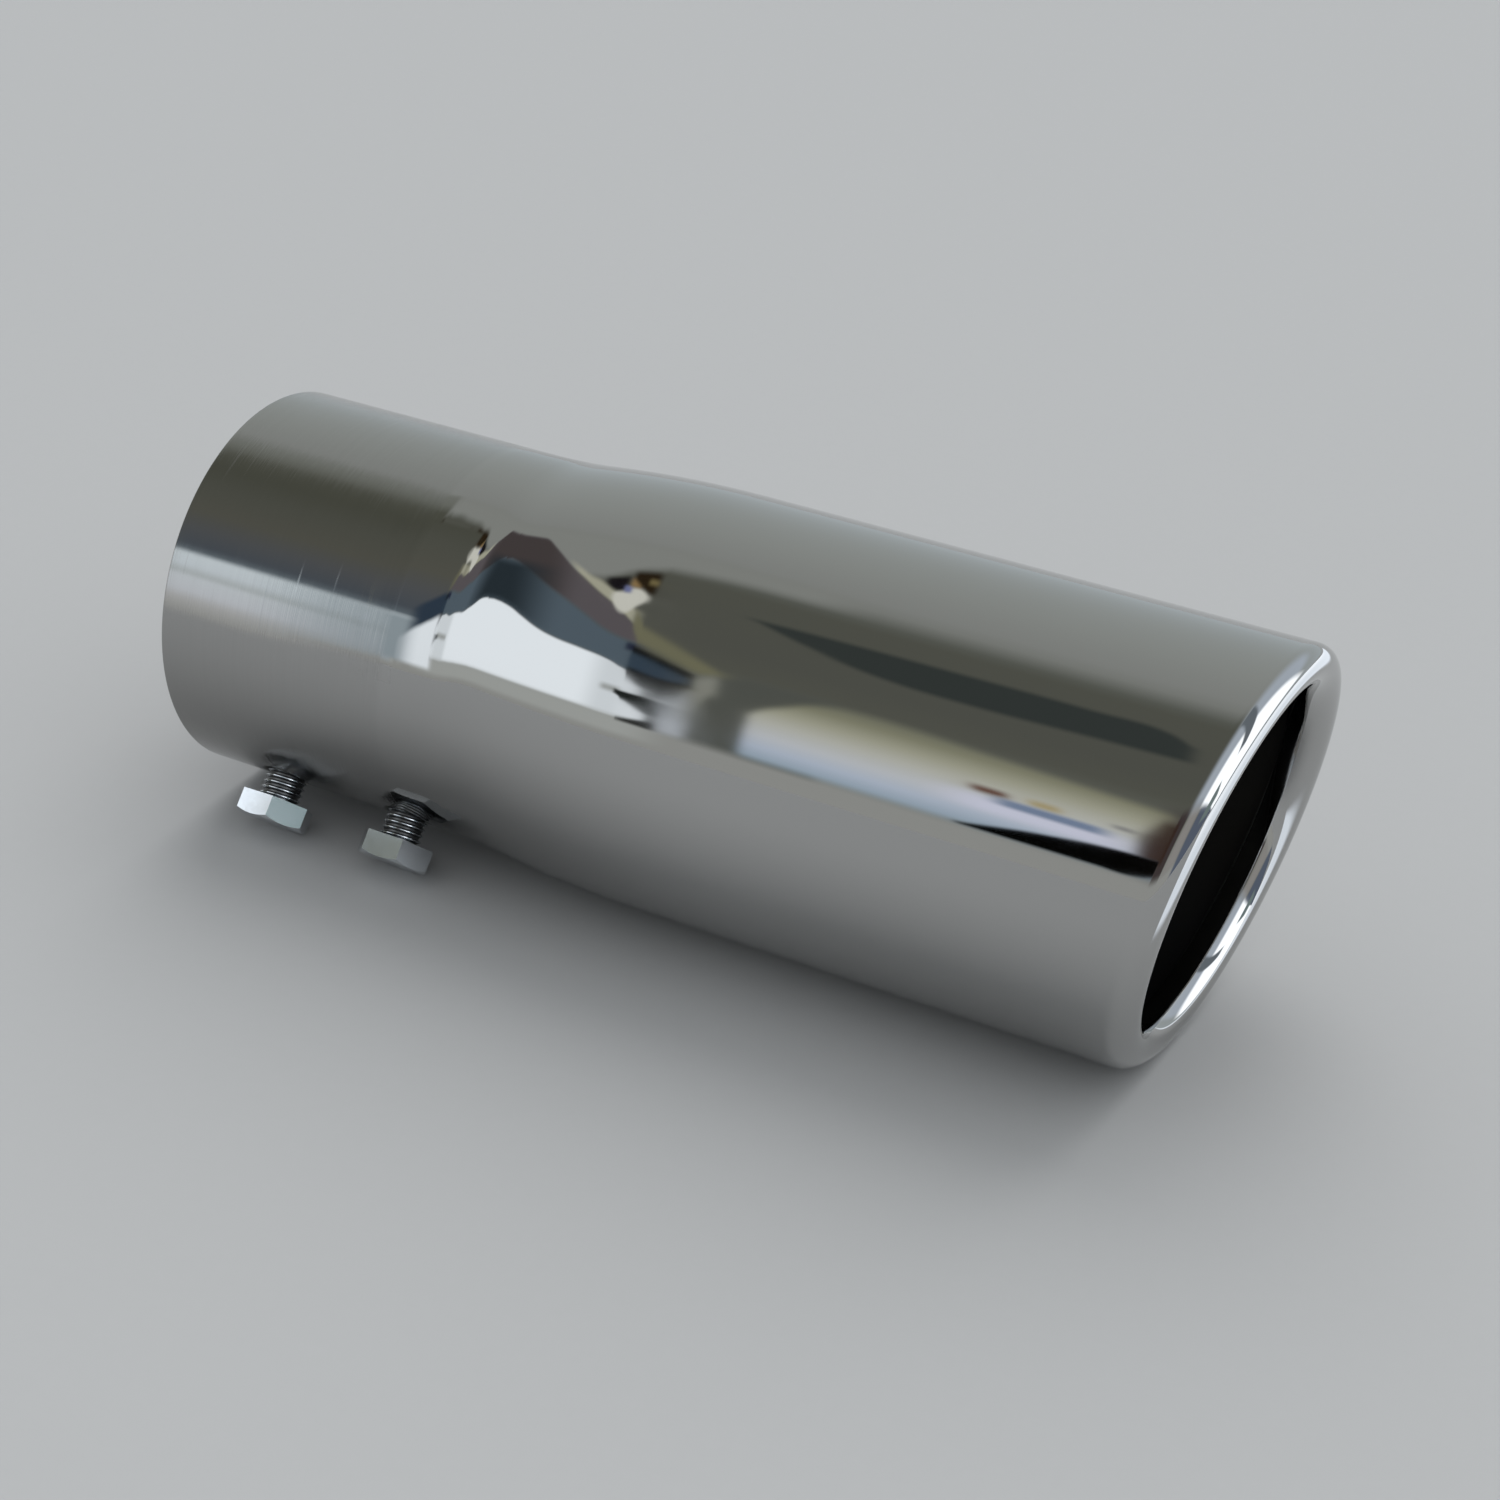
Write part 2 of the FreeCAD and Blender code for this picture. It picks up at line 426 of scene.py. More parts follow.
def combined(mesh, other, operation, solver="EXACT"):
    """A bmesh that is one closed form joined with, cut by or kept inside another. Both are used up."""
    first = as_object(mesh, "first form")
    second = as_object(other, "second form")
    modifier = first.modifiers.new("combine", "BOOLEAN")
    modifier.operation = operation
    modifier.solver = solver
    modifier.object = second
    evaluated = first.evaluated_get(bpy.context.evaluated_depsgraph_get())
    result = bmesh.new()
    result.from_mesh(evaluated.to_mesh())
    evaluated.to_mesh_clear()
    for piece in (first, second):
        data = piece.data
        bpy.data.objects.remove(piece)
        bpy.data.meshes.remove(data)
    return result


def skin_line(sizes, depth):
    """Sleeve, S-shaped flare and start of the body, at a depth below the outside.

    The flare is a short hollow bend and a longer crowned one. A point just beyond each end keeps the
    straight stretches truly straight under smooth shading."""
    sleeve = sizes.sleeve_diameter / 2
    body = sizes.body_diameter / 2
    start, end = sizes.flare_start, sizes.flare_start + sizes.flare_length
    steepest = 2 * math.atan((body - sleeve) / sizes.flare_length)
    hollow_bend = sizes.steepest_place / math.sin(steepest)
    crown_bend = (sizes.flare_length - sizes.steepest_place) / math.sin(steepest)
    slope = math.degrees(steepest)
    hollow = section_arc(start, sleeve + hollow_bend, hollow_bend + depth, -90, -90 + slope, FLARE_STEPS)
    crown = section_arc(end, body - crown_bend, crown_bend - depth, 90 + slope, 90, FLARE_STEPS)
    return [at(start - SUPPORT, sleeve - depth)] + hollow + crown[1:] + [at(end + SUPPORT, body - depth)]


def shell_section(sizes):
    """The closed lengthwise section of the wall, from the inlet's cut edge to the lip and back inside."""
    outside = sizes.sleeve_diameter / 2
    inside = outside - sizes.wall
    edge = sizes.inlet_edge
    roll = (sizes.outlet_distance - sizes.lip_radius, sizes.body_diameter / 2 - sizes.lip_radius)
    hollow_radius = sizes.lip_radius - sizes.wall
    return_end = roll[0] - sizes.lip_return
    section = section_arc(edge, outside - edge, edge, 180, 90, EDGE_STEPS)
    section.append(at(edge + SUPPORT, outside))
    section += skin_line(sizes, 0)
    section.append(at(roll[0] - SUPPORT, sizes.body_diameter / 2))
    section += section_arc(*roll, sizes.lip_radius, 90, -90, LIP_STEPS)
    section += [at(return_end, roll[1] - sizes.lip_radius), at(return_end, roll[1] - hollow_radius)]
    section += section_arc(*roll, hollow_radius, -90, 90, LIP_STEPS)
    section.append(at(roll[0] - SUPPORT, sizes.body_diameter / 2 - sizes.wall))
    section += reversed(skin_line(sizes, sizes.wall))
    section += section_arc(edge, inside + edge, edge, 270, 180, EDGE_STEPS)
    return section


def long_side(sizes):
    """The direction from the tube's axis to the outlet's long side, nearly straight away from the bolts."""
    return Matrix.Rotation(sizes.slant_turn, 3, "X") @ inward


def lean_outlet(mesh, sizes):
    """Moves the body's end along the tube by its height, so that the outlet and its lip lie slanted."""
    towards_long_side = long_side(sizes)
    flare_end = sizes.flare_start + sizes.flare_length
    lip_start = sizes.outlet_distance - sizes.lip_radius
    for vert in mesh.verts:
        share = min(1, max(0, (vert.co.x - flare_end) / (lip_start - sizes.lip_return - flare_end)))
        vert.co.x += share * math.tan(sizes.slant_angle) * vert.co.dot(towards_long_side)


def bolt_places(bolts):
    """Each bolt's name, its place along the tube and its head's turn."""
    return (("inlet", bolts.first_place, bolts.inlet_bolt_turn),
            ("flare", bolts.first_place + bolts.spacing, bolts.flare_bolt_turn))


def seat(place):
    """From a bolt's own frame to the part's: its z points inwards and its origin is on the tube's axis."""
    turned = Matrix((lengthwise, across, inward)).transposed().to_4x4()
    return Matrix.Translation(lengthwise * place) @ turned


def wrapped(mesh):
    """Bends what was made flat about a bolt's axis round the tube: each point keeps its depth."""
    for vert in mesh.verts:
        reach = -vert.co.z
        vert.co.z = -math.sqrt(max(reach ** 2 - vert.co.y ** 2, 0))


def hole_ring(sizes, patch):
    """The wall round a bolt hole, in the bolt's frame: rounded where the punch went in."""
    outside = sizes.sleeve_diameter / 2
    inside = outside - sizes.wall
    rounding = section_arc(sizes.hole_radius + sizes.hole_edge, outside - sizes.hole_edge, sizes.hole_edge,
                           90, 180, EDGE_STEPS + 3)
    section = [at(patch, -outside)] + [at(point.x, -point.z) for point in rounding]
    section += [at(sizes.hole_radius, -inside), at(patch, -inside)]
    ring = spun(section, (0, 0, 1), HOLE_STEPS, False)
    wrapped(ring)
    return ring


def open_edges(mesh, centre, radius):
    """The edges with a face on one side only, near a bolt's axis."""
    found = []
    for edge in mesh.edges:
        middle = (edge.verts[0].co + edge.verts[1].co) / 2 - centre
        if edge.is_boundary and (middle - inward * middle.dot(inward)).length < radius:
            found.append(edge)
    return found


def open_bolt_hole(mesh, sizes, place):
    """Cuts a round patch out of the sleeve's wall and fills it with the ring round a bolt hole."""
    patch = sizes.hole_radius + 3 * sizes.hole_edge
    gap = 0.15 * MM
    reach = sizes.sleeve_diameter
    cutter = bmesh.new()
    bmesh.ops.create_cone(cutter, cap_ends=True, segments=HOLE_STEPS, radius1=patch, radius2=patch,
                          depth=reach, matrix=seat(place) @ Matrix.Translation((0, 0, -0.75 * reach)))
    mesh = combined(mesh, cutter, "DIFFERENCE")
    centre = lengthwise * place
    cut_wall = []
    for face in mesh.faces:
        spots = [v.co - centre for v in face.verts]
        outs = [(s - inward * s.dot(inward)).length for s in spots]
        if min(outs) > patch - 0.02 * MM and max(outs) < patch + 0.02 * MM and spots[0].dot(inward) < 0:
            cut_wall.append(face)
    bmesh.ops.delete(mesh, geom=cut_wall, context="FACES")
    ring = hole_ring(sizes, patch - gap)
    ring.transform(seat(place))
    data = bpy.data.meshes.new("ring")
    ring.to_mesh(data)
    ring.free()
    mesh.from_mesh(data)
    bpy.data.meshes.remove(data)
    skin_middle = (sizes.sleeve_diameter - sizes.wall) / 2
    rims = open_edges(mesh, centre, patch + gap)
    for outer in (True, False):
        rim = [e for e in rims if (e.verts[0].co.yz.length > skin_middle) == outer]
        bmesh.ops.bridge_loops(mesh, edges=rim)
    return mesh


def build_shell(sizes, bolts):
    mesh = spun(shell_section(sizes), lengthwise, ROUND_STEPS, True)
    lean_outlet(mesh, sizes)
    for _, place, _ in bolt_places(bolts):
        mesh = open_bolt_hole(mesh, sizes, place)
    bmesh.ops.remove_doubles(mesh, verts=mesh.verts, dist=MERGE)
    return as_object(mesh, "formed_shell")


def corner_radius(across_flats):
    return across_flats / math.sqrt(3)


def turned_off(across_flats, slope):
    """The radius of a hexagon's flats, one just past its corners, and the fall of a cone between them."""
    flat = across_flats / 2
    rim = corner_radius(across_flats) + 0.5 * MM
    return flat, rim, (rim - flat) * math.tan(slope)


def hexagon(across_flats, top, bottom, angle):
    """A hexagonal prism about z, with corners at the given angle and each 60 degrees from it."""
    mesh = bmesh.new()
    corner_turn = Matrix.Rotation(angle - math.pi / 2, 4, "Z")
    bmesh.ops.create_circle(mesh, cap_ends=True, segments=6, radius=corner_radius(across_flats),
                            matrix=Matrix.Translation((0, 0, top)) @ corner_turn)
    grown = bmesh.ops.extrude_face_region(mesh, geom=mesh.faces[:])
    moved = [item for item in grown["geom"] if isinstance(item, bmesh.types.BMVert)]
    bmesh.ops.translate(mesh, verts=moved, vec=(0, 0, bottom - top))
    return mesh


def turned_hexagon(prism, outline, closed, edge):
    """A prism kept inside a form turned from (radius, z) points, with its sharp edges rounded."""
    blank = spun([at(r, z) for r, z in outline], (0, 0, 1), HOLE_STEPS, closed)
    mesh = combined(prism, blank, "INTERSECT")
    bmesh.ops.dissolve_limit(mesh, angle_limit=math.radians(0.5), verts=mesh.verts, edges=mesh.edges)
    sharp = [e for e in mesh.edges if len(e.link_faces) == 2 and e.calc_face_angle() > math.radians(20)]
    bmesh.ops.bevel(mesh, geom=sharp, offset=edge, offset_type="OFFSET", affect="EDGES", segments=2,
                    profile=0.5, material=-1, clamp_overlap=True)
    return mesh


def bolt_head(bolts, top, bottom, angle):
    """The hexagon with its outer corners turned off, in the bolt's frame. The outer face is at top."""
    flat, rim, drop = turned_off(bolts.head_across_flats, bolts.head_chamfer)
    outline = [(0, top), (flat, top), (rim, top + drop), (rim, bottom), (0, bottom)]
    prism = hexagon(bolts.head_across_flats, top - MM, bottom, angle)
    return turned_hexagon(prism, outline, False, bolts.head_edge)


def threaded_shank(bolts, top, bottom):
    """A screw thread between two heights, closed at both ends, with a chamfered tip at bottom."""
    crest = bolts.thread_diameter / 2
    pitch = bolts.thread_pitch
    root = crest - 0.6134 * pitch
    turns = math.ceil((bottom - top) / pitch) + 2
    start = top - pitch
    outline = ((root, 0), (root, 1 / 4), (crest, 9 / 16), (crest, 11 / 16), (root, 1))
    mesh = bmesh.new()
    verts = [mesh.verts.new((r, 0, start + pitch * share)) for r, share in outline]
    edges = [mesh.edges.new(pair) for pair in zip(verts, verts[1:])]
    bmesh.ops.spin(mesh, geom=verts + edges, cent=(0, 0, 0), axis=(0, 0, 1),
                   dvec=(0, 0, pitch / THREAD_STEPS), angle=2 * math.pi * turns, steps=THREAD_STEPS * turns)
    bmesh.ops.remove_doubles(mesh, verts=mesh.verts, dist=0.001 * MM)
    for height, side in ((top, -1), (bottom, 1)):
        cut = bmesh.ops.bisect_plane(mesh, geom=mesh.verts[:] + mesh.edges[:] + mesh.faces[:],
                                     plane_co=(0, 0, height), plane_no=(0, 0, side), clear_outer=True)
        rim = [item for item in cut["geom_cut"] if isinstance(item, bmesh.types.BMEdge)]
        bmesh.ops.contextual_create(mesh, geom=rim)
    for vert in mesh.verts:
        allowed = crest - bolts.tip_chamfer + (bottom - vert.co.z)
        if vert.co.xy.length > allowed:
            vert.co.xy *= allowed / vert.co.xy.length
    bmesh.ops.recalc_face_normals(mesh, faces=mesh.faces)
    return mesh


def build_bolt(shell, bolts, name, place, angle):
    underside = -(shell.sleeve_diameter / 2 + bolts.head_gap)
    head = bolt_head(bolts, underside - bolts.head_height, underside, angle)
    sunk = 0.8 * MM
    shank = threaded_shank(bolts, underside - sunk, underside + bolts.bolt_length)
    mesh = combined(head, shank, "UNION")
    mesh.transform(seat(place))
    return as_object(mesh, "hex_bolt_" + name, FLAT_AREA)


def weld_bead(shell, bolts):
    """A fillet weld round the nut's foot, with ripples, made flat about the bolt's axis and then bent."""
    bore = shell.sleeve_diameter / 2 - shell.wall
    corner = corner_radius(bolts.nut_across_flats)
    outer = corner + bolts.weld_leg
    inner = corner - bolts.weld_leg / 2
    middle = (outer + inner) / 2
    crown = 0.3 * bolts.weld_leg
    section = [at(inner, -bore), at(outer, -bore)]
    for k in range(1, BEAD_STEPS):
        share = k / BEAD_STEPS
        swell = crown * math.sin(math.pi * share)
        section.append(at(outer + (inner - outer) * share + swell,
                          -bore + 1.5 * bolts.weld_leg * share + swell))
    section.append(at(inner, -bore + 1.5 * bolts.weld_leg))
    bead = spun(section, (0, 0, 1), 2 * HOLE_STEPS, True)
    foot = 0.1 * MM
    for vert in bead.verts:
        out = vert.co.xy.length
        if out > inner + foot and vert.co.z > -bore + foot:
            angle = math.atan2(vert.co.y, vert.co.x)
            wave = abs(math.sin(angle * RIPPLES / 2 + (out - middle) / MM * 0.5))
            vert.co.xy *= 1 + bolts.weld_ripple * (wave - 0.5) / out
            vert.co.z += bolts.weld_ripple * (wave - 0.5)
    wrapped(bead)
    return bead


def build_nut(shell, bolts, name, place):
    bore = shell.sleeve_diameter / 2 - shell.wall
    end = -(bore - bolts.nut_height)
    flat, rim, drop = turned_off(bolts.nut_across_flats, bolts.head_chamfer)
    hole = bolts.thread_diameter / 2 + THREAD_PLAY
    outline = [(hole, -bore), (hole, end - NUT_MOUTH), (hole + NUT_MOUTH, end), (flat, end),
               (rim, end - drop), (rim, -bore)]
    nut = turned_hexagon(hexagon(bolts.nut_across_flats, -bore, end, 0), outline, True, bolts.head_edge)
    bmesh.ops.subdivide_edges(nut, edges=[e for e in nut.edges if e.calc_length() > 2 * MM], cuts=2,
                              use_grid_fill=True)
    for vert in nut.verts:
        if vert.co.z < -bore + 0.5 * MM:
            vert.co.z = -math.sqrt((bore - NUT_LIFT) ** 2 - vert.co.y ** 2)
    mesh = combined(nut, weld_bead(shell, bolts), "UNION", "MANIFOLD")
    mesh.transform(seat(place))
    return as_object(mesh, "weld_nut_body_" + name, FLAT_AREA)


# The shell's finish
SCRATCH_STEEL = (0.80, 0.80, 0.79)
INSIDE_ROUGHNESS = 0.5
BRUSH_DEPTH = 0.02 * MM

# The neck before the flare: (millimetres from the inlet, share of its depth)
NECK_LINE = ((41.4, 0.0), (42.2, 0.026), (43.6, 0.12), (45.8, 0.29), (47.6, 0.452), (49.9, 0.70),
             (52.0, 0.908), (53.3, 0.972), (56.0, 0.98))


def shaded(colour, share):
    return [part * share for part in colour]


def slanted_distance(x, y, z, sizes):
    """How far a point lies along the tube, counted along the slanted outlet's lean."""
    side = long_side(sizes)
    height = y * side.y + z * side.z
    return x - height * math.tan(sizes.slant_angle)


def neck(graph, x, sizes):
    """How deep the skin is sunk just before the flare, where the mirrored things turn over."""
    start, end = NECK_LINE[0][0] * MM, NECK_LINE[-1][0] * MM
    points = [((place * MM - start) / (end - start), depth) for place, depth in NECK_LINE]
    return graph.curve((x - start) / (end - start), points) * sizes.neck_depth


def scratch(graph, x, around, place, width, start, end):
    """A fine line round the tube: 1 within its width, in millimetres, and between two turns."""
    half = width / 2
    return (graph.band(x, (place - half) * MM, (place + half) * MM, half * MM)
            * graph.band(around, start, end, 6))


def shell_finish(sizes, finishes):
    """Satin sleeve with fine brush lines, mirror-polished body and lip, painted shade on the lower front of
    the sleeve and flare, and a dull dark inside.
    """
    material, graph = new_material("satin_and_polished_steel")
    x, y, z = spot = graph.coordinates("Object")
    out = (y ** 2 + z ** 2) ** 0.5
    around = graph.turn_about_tube(y, z)
    flare_end = sizes.flare_start + sizes.flare_length
    sleeve, body = sizes.sleeve_diameter / 2, sizes.body_diameter / 2
    satin = graph.step(x, sizes.satin_length + 0.8 * MM, sizes.satin_length - 0.8 * MM)
    lower_shade_reach = graph.step(x, sizes.flare_start + 60 * MM, sizes.flare_start)
    skin = graph.step(x, sizes.flare_start, flare_end) * (body - sleeve) + sleeve
    below_skin = graph.step(skin - out, 0.4 * sizes.wall, 0.8 * sizes.wall)
    lip = sizes.outlet_distance - sizes.lip_radius - sizes.lip_return
    inside = below_skin * graph.step(slanted_distance(x, y, z, sizes), lip - 0.5 * MM, lip - 1.5 * MM)

    hair_lines = graph.noise(spot, 11000, 30, 1.0)
    fine_lines = graph.noise(spot, 3800, 22, 3.0, 0.6)
    broad_lines = graph.noise(spot, 700, 9, 2.0)
    haze = graph.noise(spot, 55, 55, 3.0)
    ripple = graph.noise(spot, 42, 70, 1.0)

    brushed = graph.mix(fine_lines * 0.4, finishes.satin_steel, shaded(finishes.satin_steel, 0.8))
    outer = graph.mix(satin, finishes.polished_steel, brushed)
    # Painted shade: the lower front is darkened, most up to the flare's start and fading over the next 60
    # mm
    outer = graph.mix(lower_shade_reach * graph.step(around, 62, 125) * 0.8, outer, finishes.painted_shade_steel)
    base = graph.mix(inside, outer, finishes.inside_steel)
    marks = (scratch(graph, x, around, 41.2, 0.28, 26, 60) * graph.step(haze, 0.4, 0.65)
             + scratch(graph, x, around, 23.5, 0.3, 55, 61) + scratch(graph, x, around, 30.0, 0.28, 53, 58))
    base = graph.mix(marks * 0.45, base, SCRATCH_STEEL)

    polish_rough = finishes.polish_roughness + graph.step(haze, 0.5, 0.75) * 0.03
    satin_rough = finishes.satin_roughness + (broad_lines - 0.5) * 0.08
    rough = graph.blend(satin, polish_rough, satin_rough) + marks * 0.2
    rough = graph.blend(inside, rough, INSIDE_ROUGHNESS)

    brush = hair_lines * 1.3 + fine_lines * 0.25 + broad_lines * 0.2
    height = (satin * brush + (1 - satin) * ripple * 0.3) * BRUSH_DEPTH - neck(graph, x, sizes)
    graph.metal(base, rough, graph.bump(height, 1.0, 1.0))
    return material


def zinc_finish(name, place, shell, bolts, finishes):
    """Plated steel with faint mottling, and painted shade in the roots of the thread."""
    material, graph = new_material(name)
    spot, out = graph.bolt_coordinates(place)
    mottle = graph.noise(spot, 700, 700, 4.0, 0.6)
    crest = bolts.thread_diameter / 2
    depth = spot[1] * inward.y + spot[2] * inward.z
    underside = -(shell.sleeve_diameter / 2 + bolts.head_gap)
    threaded = graph.band(depth, underside + 0.2 * MM, underside + bolts.bolt_length - 0.2 * MM, 0.3 * MM)
    # Painted shade: the roots of the thread are darkened along the threaded length
    root = graph.step(out, crest, crest - 0.55 * MM) * threaded
    worn = graph.mix(graph.step(mottle, 0.4, 0.75) * 0.3, finishes.zinc, shaded(finishes.zinc, 0.85))
    base = graph.mix(root * 0.85, worn, finishes.thread_root_shade)
    graph.metal(base, 0.12 + mottle * 0.08 + root * 0.25, graph.bump(mottle, 0.2, 0.01 * MM))
    return material


def weld_finish(name, place, shell, bolts, finishes):
    """Bare nut steel that turns straw and blue towards the bead at its foot."""
    material, graph = new_material(name)
    spot, out = graph.bolt_coordinates(place)
    from_tube_axis = (spot[1] ** 2 + spot[2] ** 2) ** 0.5
    bore = shell.sleeve_diameter / 2 - shell.wall
    flat = bolts.nut_across_flats / 2
    grain = graph.noise(spot, 900, 900, 4.0, 0.6)
    heat = graph.step(from_tube_axis + (grain - 0.5) * 1.2 * MM, bore - 4.6 * MM, bore - 2.2 * MM)
    bead = graph.step(from_tube_axis + (grain - 0.5) * 0.8 * MM, bore - 3.2 * MM, bore - 1.6 * MM)
    edge = graph.step(out, flat, flat + 2.5 * MM)
    nut = graph.mix(grain * 0.5, finishes.nut_steel, shaded(finishes.nut_steel, 0.6))
    warm = graph.mix(heat * 0.8, nut, finishes.weld_straw)
    base = graph.mix(bead * edge * 0.8, warm, finishes.weld_blue)
    graph.metal(base, 0.3 + grain * 0.25, graph.bump(grain, 0.4, 0.06 * MM))
    return material


def settings(context):
    scene = context.scene
    return scene.exhaust_shell, scene.exhaust_bolts, scene.exhaust_finishes


def dress(piece, material, body, slot, *nodes):
    piece.data.materials.clear()
    piece.data.materials.append(material)
    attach(piece, body)
    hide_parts(*nodes)


class EXHAUST_OT_shell(bpy.types.Operator):
    """Build the formed shell with its slanted rolled lip and bolt holes"""
    bl_idname = "exhaust.shell"
    bl_label = "Formed shell"

    def execute(self, context):
        shell, bolts, finishes = settings(context)
        formed = build_shell(shell, bolts)
        dress(formed, shell_finish(shell, finishes), "shell", "polished_steel", "tip_shell")
        return {"FINISHED"}


class EXHAUST_OT_bolts(bpy.types.Operator):
    """Build the two clamp bolts with their threads"""
    bl_idname = "exhaust.bolts"
    bl_label = "Clamp bolts"

    def execute(self, context):
        shell, bolts, finishes = settings(context)
        for name, place, angle in bolt_places(bolts):
            bolt = build_bolt(shell, bolts, name, place, angle)
            zinc = zinc_finish("zinc_" + name, place, shell, bolts, finishes)
            dress(bolt, zinc, name + "_bolt", "zinc_plate", "clamp_bolt_" + name)
        return {"FINISHED"}


class EXHAUST_OT_nuts(bpy.types.Operator):
    """Build the two weld nuts with their rippled beads"""
    bl_idname = "exhaust.nuts"
    bl_label = "Weld nuts"

    def execute(self, context):
        shell, bolts, finishes = settings(context)
        for name, place, _ in bolt_places(bolts):
            nut = build_nut(shell, bolts, name, place)
            welded = weld_finish("weld_" + name, place, shell, bolts, finishes)
            dress(nut, welded, "shell", "weld_steel", "weld_nut_" + name)
        return {"FINISHED"}


class Panel(NamedTuple):
    """One thing in the studio, as the steel mirrors it.

    level is how bright it looks in the steel, or (turn, level) stops across it. left and right are its
    borders, as turns in degrees or as (along, turn) points. start and end are its ends along the tube.
    soft and soft_end are the widths over which its borders and its ends fade."""
    level: tuple
    left: object
    right: object
    start: float
    end: float
    soft: float = 4
    soft_end: float = 0.008
    strength: float = 1.0


# The light all round, before any panel: (turn, level) stops
STUDIO_RING = (
    (-180, (131, 132, 130)), (-100, (137, 144, 148)), (-85, (134, 140, 142)), (-60, (130, 134, 133)),
    (-40, (126, 129, 127)), (-20, (120, 122, 120)), (-14, (113, 115, 112)), (-6, (82, 84, 79)),
    (-2, (76, 77, 71)), (30, (75, 76, 71)), (40, (77, 78, 72)), (52, (92, 94, 88)), (78, (116, 118, 115)),
    (83, (132, 133, 131)), (180, (132, 133, 131)))

# Borders that two panels share: (along, turn) points
BROWN_BORDER = ((-0.64, -9), (-0.60, -9.5), (-0.59, -9), (-0.58, -5), (-0.57, -1), (-0.55, 6), (-0.53, 11),
                (-0.50, 17.5), (-0.46, 24), (-0.44, 28), (-0.41, 34))
BLUE_BORDER = ((-0.64, 7), (-0.61, 14), (-0.58, 20.5), (-0.54, 27), (-0.50, 33), (-0.47, 37), (-0.42, 40))
WHITE_BORDER = ((-0.66, 35), (-0.63, 38), (-0.61, 41.5), (-0.58, 46), (-0.55, 48.5), (-0.50, 50.3),
                (-0.46, 51.8), (-0.43, 54), (-0.412, 56.5), (-0.402, 63))
WALL_BORDER = ((-0.56, 10), (-0.50, 9), (-0.48, 6), (-0.46, 2), (-0.44, -1), (-0.42, -3), (-0.40, -6),
               (-0.385, -8), (-0.36, -9))
FRAME_LEFT = ((-0.424, 41), (-0.41, 42), (-0.40, 44.5), (-0.389, 47.5))
WINDOW_LEFT = ((-0.367, 58), (-0.362, 54), (-0.355, 50), (-0.35, 47), (-0.34, 43.5), (-0.33, 42.5),
               (-0.31, 42.5), (-0.28, 44), (-0.21, 47))

WINDOW_LEVELS = (
    (43, (102, 103, 90)), (48, (120, 120, 103)), (54, (146, 146, 131)), (60, (163, 164, 157)),
    (67, (170, 174, 179)), (73, (158, 168, 183)), (78, (138, 152, 166)), (81, (126, 139, 147)))

